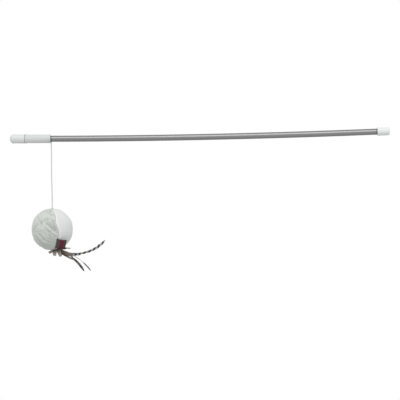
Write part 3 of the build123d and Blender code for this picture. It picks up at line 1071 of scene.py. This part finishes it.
# Tail tie: the root of the strips and quills, bound into one short plug and sewn into the cover
# low on the ball. The binding leaves ridges in it, and its outer end is round.
tail_pivot = Vector(joints["tail_bend"]["pos_m"])
tail_way = ball_way(-30.0, -72.0)
tail_seat = ball_centre + tail_way * ball_radius
tail_right = (Vector((1.0, 0.0, 0.0)) - tail_way * tail_way.x).normalized()
tie_radius = 0.003
tie_depth = 0.005
tie_ridges = 11.0
tie_ridge_share = 0.06
clear_bench()
bpy.ops.mesh.primitive_uv_sphere_add(segments=48, ring_count=32, radius=tie_radius)
tie = bpy.context.object
for vertex in tie.data.vertices:
    deep = vertex.co.z < 0.0
    turn = math.atan2(vertex.co.y, vertex.co.x)
    ridge = 1.0 - tie_ridge_share * (0.5 + 0.5 * math.sin(tie_ridges * turn))
    vertex.co.x *= ridge
    vertex.co.y *= ridge
    if deep:
        vertex.co.z *= tie_depth / tie_radius
tie_turn = tail_way.to_track_quat("Z", "Y").to_matrix().to_4x4()
tie.matrix_world = Matrix.Translation(tail_pivot) @ tie_turn
smooth(tie)


def suede_finish(name, root, middle, tip):
    """Soft brown suede, darker where it is bound and paler towards the cut end."""
    finish, tree, shader = new_finish(name, middle, 0.85)
    place = object_place(tree)
    nap = put_mottle(tree, place, root, tip, Scale=420.0, Detail=4.0, Relief=0.3, Depth=0.0002)
    parts = map_parts(tree)
    toned = put_sum(tree, "MULTIPLY_ADD", 0.4)
    brown = put_ramp(tree, (0.05, root), (0.55, middle), (1.3 / 1.4, tip))
    wire(
        tree,
        (nap, "Value", toned, 0),
        (parts, "X", toned, 2),
        (toned, "Value", brown, "Fac"),
        (brown, "Color", shader, "Base Color"),
        (nap, "Normal", shader, "Normal"),
    )
    return finish


tuft_suede = suede_finish("tuft_suede", (0.06, 0.042, 0.032), (0.15, 0.115, 0.094), (0.34, 0.3, 0.27))
bundle_suede = suede_finish("bundle_suede", (0.05, 0.036, 0.028), (0.11, 0.084, 0.068), (0.24, 0.2, 0.175))
set_down(tie, "bound_root", bundle_suede)
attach(tie, "ball")
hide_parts("tail_tie")

# Tuft and bundle: soft brown strips cut with scissors, some short and splayed on the ball, some
# long and laid along the quills. Each follows one arc, twists a little and frays at its end.
suede_thickness = 0.0005
strip_lift = 0.0006
strip_gap = 0.0001
strip_fray = 0.06
strip_slant = 0.1
strip_waver = 0.25
strip_curl = 0.0004
strip_cup = 0.0003
tuft_reach = 0.0165
tuft_droop = 0.0105
droop_middle_share = 0.3
bundle_reach = 0.02
bundle_side_gap = 0.0005
tail_bend_gap = 0.0004
quill_spacing = 0.0012
quill_angle = -27.0


def arc_through(start, middle, end):
    """The arc through three flat points: a function from a share of it to place and heading."""
    (ax, ay), (bx, by), (cx, cy) = start, middle, end
    area = 2.0 * (ax * (by - cy) + bx * (cy - ay) + cx * (ay - by))
    a_square = ax * ax + ay * ay
    b_square = bx * bx + by * by
    c_square = cx * cx + cy * cy
    ux = (a_square * (by - cy) + b_square * (cy - ay) + c_square * (ay - by)) / area
    uy = (a_square * (cx - bx) + b_square * (ax - cx) + c_square * (bx - ax)) / area
    radius = math.hypot(ax - ux, ay - uy)
    first = math.atan2(ay - uy, ax - ux)
    half = math.atan2(by - uy, bx - ux)
    last = math.atan2(cy - uy, cx - ux)
    sweep = (half - first + math.pi) % math.tau - math.pi
    sweep += (last - half + math.pi) % math.tau - math.pi
    sense = math.copysign(1.0, sweep)

    def at(share):
        angle = first + sweep * share
        place = (ux + radius * math.cos(angle), uy + radius * math.sin(angle))
        heading = (-sense * math.sin(angle), sense * math.cos(angle))
        return place, heading

    return at, radius * abs(sweep)


def lay_strip(name, body, origin, run_way, rise_way, arc, width, lie, twist, taper, finish, seed):
    """One cut strip along an arc: lie is how far it is turned on edge, twist how far it turns more."""
    at = arc[0]
    clear_bench()
    bpy.ops.mesh.primitive_grid_add(x_subdivisions=28, y_subdivisions=6, size=1.0)
    piece = bpy.context.object
    side_way = run_way.cross(rise_way)
    for vertex in piece.data.vertices:
        share = vertex.co.x + 0.5
        across = vertex.co.y
        cut = strip_fray * noise.noise(Vector((across * 7.0, seed * 3.7, 0.3)))
        cut += strip_slant * across * math.sin(seed)
        share_cut = share * (1.0 + cut * share)
        (u, v), (hu, hv) = at(share_cut)
        heading = run_way * hu + rise_way * hv
        upright = heading.cross(side_way).normalized()
        turn = lie + twist * share + strip_waver * noise.noise(Vector((share * 2.5, seed, 1.1)))
        width_way = side_way * math.cos(turn) + upright * math.sin(turn)
        out_way = heading.cross(width_way).normalized()
        curl = strip_curl * noise.noise(Vector((share * 4.0, across * 2.0, seed * 1.9)))
        cup = strip_cup * (1.0 - (2.0 * across) ** 2)
        centre = origin + run_way * u + rise_way * v
        spread = across * width * (taper[0] + (taper[1] - taper[0]) * share)
        vertex.co = centre + width_way * spread + out_way * (curl + cup)
    give_wall(piece, suede_thickness, 0.0)
    round_off(piece)
    apply_modifiers(piece)
    smooth(piece, 60.0)
    set_down(piece, f"{name}_cut", finish)
    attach(piece, body)
    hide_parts(name)


tuft_root = tie_radius + strip_gap
tuft_rows = [
    ("tuft_strip_left", 180.0, 0.76, 0.14, 0.0036, 1.3, (1.5, 0.9)),
    ("tuft_strip_front_left", 136.0, 0.52, 0.76, 0.0058, -0.9, (1.4, 0.7)),
    ("tuft_strip_front", 82.0, 0.42, 1.0, 0.0054, 0.2, (1.35, 0.65)),
    ("tuft_spike_right", -6.0, 1.0, 0.29, 0.0026, -1.5, (1.1, 0.3)),
    ("tuft_spike_back_right", -38.0, 0.88, 0.08, 0.0048, -1.7, (0.85, 0.3)),
    ("tuft_strip_back", -82.0, 0.48, 0.86, 0.0042, -0.1, (1.6, 0.8)),
    ("tuft_strip_back_left", -132.0, 0.61, 0.48, 0.0042, 0.95, (1.6, 0.8)),
]
for number, (name, turn, reach_share, droop_share, width, twist, taper) in enumerate(tuft_rows):
    reach = reach_share * tuft_reach
    droop = droop_share * tuft_droop
    out_way = Matrix.Rotation(math.radians(turn), 3, tail_way) @ tail_right
    arc = arc_through(
        (tuft_root, strip_lift),
        ((tuft_root + reach) / 2, strip_lift + droop_middle_share * droop),
        (reach, strip_lift + droop),
    )
    shape = (width, 0.0, twist, taper)
    suede = bundle_suede if "spike" in name else tuft_suede
    lay_strip(name, "ball", tail_seat, out_way, tail_way, arc, *shape, suede, number + 1.0)


def tail_start(angle):
    """A point just clear of the tie's round end, at an angle from level."""
    start_radius = tie_radius + tail_bend_gap
    return start_radius * math.cos(math.radians(angle)), start_radius * math.sin(math.radians(angle))


along_x = Vector((1.0, 0.0, 0.0))
along_z = above(1.0)
flat_step = 0.0013
side_step = 2.0 * quill_spacing + bundle_side_gap
bundle_twist = 0.5
bundle_taper = (1.05, 0.72)
bundle_rows = [
    ("bundle_strip_top_front", flat_step, -8.0, (0.45, -0.13), (0.85, -0.27), 0.0025, 0.4),
    ("bundle_strip_top_back", -flat_step, -8.0, (0.42, -0.11), (0.75, -0.22), 0.0028, -0.7),
    ("bundle_strip_low_front", flat_step, -66.0, (0.5, -0.40), (1.0, -0.66), 0.0031, 0.8),
    ("bundle_strip_low_back", -flat_step, -66.0, (0.45, -0.38), (0.9, -0.62), 0.0031, -0.8),
    ("bundle_strip_side_front", side_step, quill_angle, (0.52, -0.25), (1.0, -0.45), 0.0046, 1.5),
    ("bundle_strip_side_back", -side_step, quill_angle, (0.5, -0.25), (0.92, -0.43), 0.0034, 1.6),
]
for number, (name, step, angle, middle, end, width, lie) in enumerate(bundle_rows):
    arc = arc_through(
        tail_start(angle),
        (middle[0] * bundle_reach, middle[1] * bundle_reach),
        (end[0] * bundle_reach, end[1] * bundle_reach),
    )
    origin = tail_pivot - Vector((0.0, step, 0.0))
    shape = (width, lie, bundle_twist, bundle_taper)
    lay_strip(name, "tail", origin, along_x, along_z, arc, *shape, bundle_suede, number + 11.0)

# Feathers: four slim hackles, each a tapered quill with a row of barbs down either side, bound in
# at the root: one long and one short barred in black and white, one dark, one slender and grey.
quill_radius = 0.00045
quill_thinning = 0.86
quill_cuts = 40
barb_pitch = 0.00042
barb_blade = 0.0011
barb_lift = 0.0001
barb_tilt = 0.35


def barred_finish(name, dark, pale, bars, slant):
    """Barb colour in oblique bars along the feather, read from its own map."""
    finish, tree, shader = new_finish(name, pale, 0.7)
    parts = map_parts(tree)
    lean = put_sum(tree, "MULTIPLY_ADD", slant)
    count = put_sum(tree, "MULTIPLY", math.tau * bars)
    wave = put_sum(tree, "SINE")
    spread = put_node(tree, "MapRange", From_Min=-1.0)
    bar_tone = put_ramp(tree, (0.5, dark), (0.66, pale))
    wire(
        tree,
        (parts, "Y", lean, 0),
        (parts, "X", lean, 2),
        (lean, "Value", count, 0),
        (count, "Value", wave, 0),
        (wave, "Value", spread, "Value"),
        (spread, "Result", bar_tone, "Fac"),
        (bar_tone, "Color", shader, "Base Color"),
    )
    return finish


def lay_feather(name, step, reach, middle_shares, tip_rise_share, vane, finish, slot, seed):
    """One feather along its arc: the quill is drawn first, then its barbs, pair by pair."""
    width, vane_start, lead, swell = vane
    at, length = arc_through(
        tail_start(quill_angle),
        (middle_shares[0] * reach, middle_shares[1] * reach),
        (reach, tip_rise_share * reach),
    )
    origin = tail_pivot - Vector((0.0, step, 0.0))
    side_way = Vector((0.0, -1.0, 0.0))
    chance = random.Random(seed)
    clear_bench()
    bpy.ops.mesh.primitive_cylinder_add(
        vertices=8, radius=1.0, depth=1.0, rotation=(0.0, math.pi / 2, 0.0)
    )
    quill = bpy.context.object
    bpy.ops.object.transform_apply(rotation=True)
    bpy.ops.object.mode_set(mode="EDIT")
    for cut in range(1, quill_cuts):
        bpy.ops.mesh.select_all(action="SELECT")
        bpy.ops.mesh.bisect(plane_co=(cut / quill_cuts - 0.5, 0.0, 0.0), plane_no=(1.0, 0.0, 0.0))
    bpy.ops.object.mode_set(mode="OBJECT")
    maps = quill.data.uv_layers.active.data
    for vertex in quill.data.vertices:
        share = vertex.co.x + 0.5
        (u, v), (hu, hv) = at(share)
        thin = quill_radius * (1.0 - quill_thinning * share)
        up = Vector((-hv, 0.0, hu))
        centre = origin + along_x * u + along_z * v
        vertex.co = centre + up * (vertex.co.z * thin) + side_way * (vertex.co.y * thin)
    for corner in maps:
        corner.uv = (0.0, 0.0)
    count = int(length * (1.0 - vane_start) / barb_pitch)
    clear_bench()
    bpy.ops.mesh.primitive_grid_add(x_subdivisions=5, y_subdivisions=1, size=1.0)
    barbs = bpy.context.object
    rows = barbs.modifiers.new("rows", "ARRAY")
    rows.count = 2 * count
    rows.use_relative_offset = False
    rows.use_constant_offset = True
    rows.constant_offset_displace = (0.0, 2.0, 0.0)
    apply_modifiers(barbs)
    barb_points = len(barbs.data.vertices) // (2 * count)
    places = []
    for number in range(2 * count):
        hand = 1.0 if number % 2 else -1.0
        along = (number // 2) / count
        root = vane_start + (1.0 - vane_start) * along
        full = math.sin(math.pi * min(1.0, 1.06 * (lead + (1.0 - lead) * along ** swell))) ** 0.5
        half = 0.5 * width * (0.2 + 0.8 * full) * chance.uniform(0.8, 1.12)
        rake = chance.uniform(1.5, 2.1)
        tilt = chance.uniform(-barb_tilt, barb_tilt)
        for point in range(barb_points):
            vertex = barbs.data.vertices[number * barb_points + point]
            run = vertex.co.x + 0.5
            edge = vertex.co.y - 2.0 * number
            out = half * run ** 0.85
            blade = barb_blade * (1.0 - 0.6 * run) * edge
            share = min(1.0, root + (out * rake + blade) / length)
            (u, v), (hu, hv) = at(share)
            up = Vector((-hv, 0.0, hu))
            lift = out * math.sin(tilt) + barb_lift * hand
            places.append((share, hand * out / width))
            centre = origin + along_x * u + along_z * v
            vertex.co = centre + up * (hand * out * math.cos(tilt)) + side_way * lift
    barb_maps = barbs.data.uv_layers.active.data
    for loop in barbs.data.loops:
        barb_maps[loop.index].uv = places[loop.vertex_index]
    join_to(quill, barbs)
    smooth(quill)
    set_down(quill, f"{name}_plume", finish)
    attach(quill, "tail")
    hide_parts(name)


black = (0.006, 0.006, 0.006)
white = (0.62, 0.62, 0.61)
long_barbs = barred_finish("black_and_white_barbs", black, white, 9.5, -0.055)
short_barbs = barred_finish("short_barred_barbs", black, white, 5.0, -0.09)
dark_barbs = barred_finish("dark_barbs", (0.008, 0.009, 0.008), (0.16, 0.17, 0.155), 4.0, 0.55)
grey_barbs = barred_finish("grey_barbs", (0.04, 0.04, 0.038), (0.12, 0.12, 0.115), 11.0, 0.2)
feather_rows = [
    ("long_barred", 0.5, 0.0625, (0.5, -0.085), 0.194, (0.0036, 0.12, 0.06, 2.2), long_barbs),
    ("short_barred", 1.5, 0.0305, (0.55, -0.22), -0.22, (0.0028, 0.3, 0.12, 1.0), short_barbs),
    ("dark", -0.5, 0.0346, (0.61, -0.37), -0.84, (0.0034, 0.4, 0.08, 1.1), dark_barbs),
    ("slender", -1.5, 0.0433, (0.55, -0.24), -0.66, (0.0018, 0.68, 0.06, 1.0), grey_barbs),
]
feather_slots = ("barred_feather", "barred_feather", "dark_feather", "grey_feather")
for number, (name, step, *shape) in enumerate(feather_rows):
    slot = feather_slots[number]
    lay_feather(f"feather_{name}", step * quill_spacing, *shape, slot, number + 5)
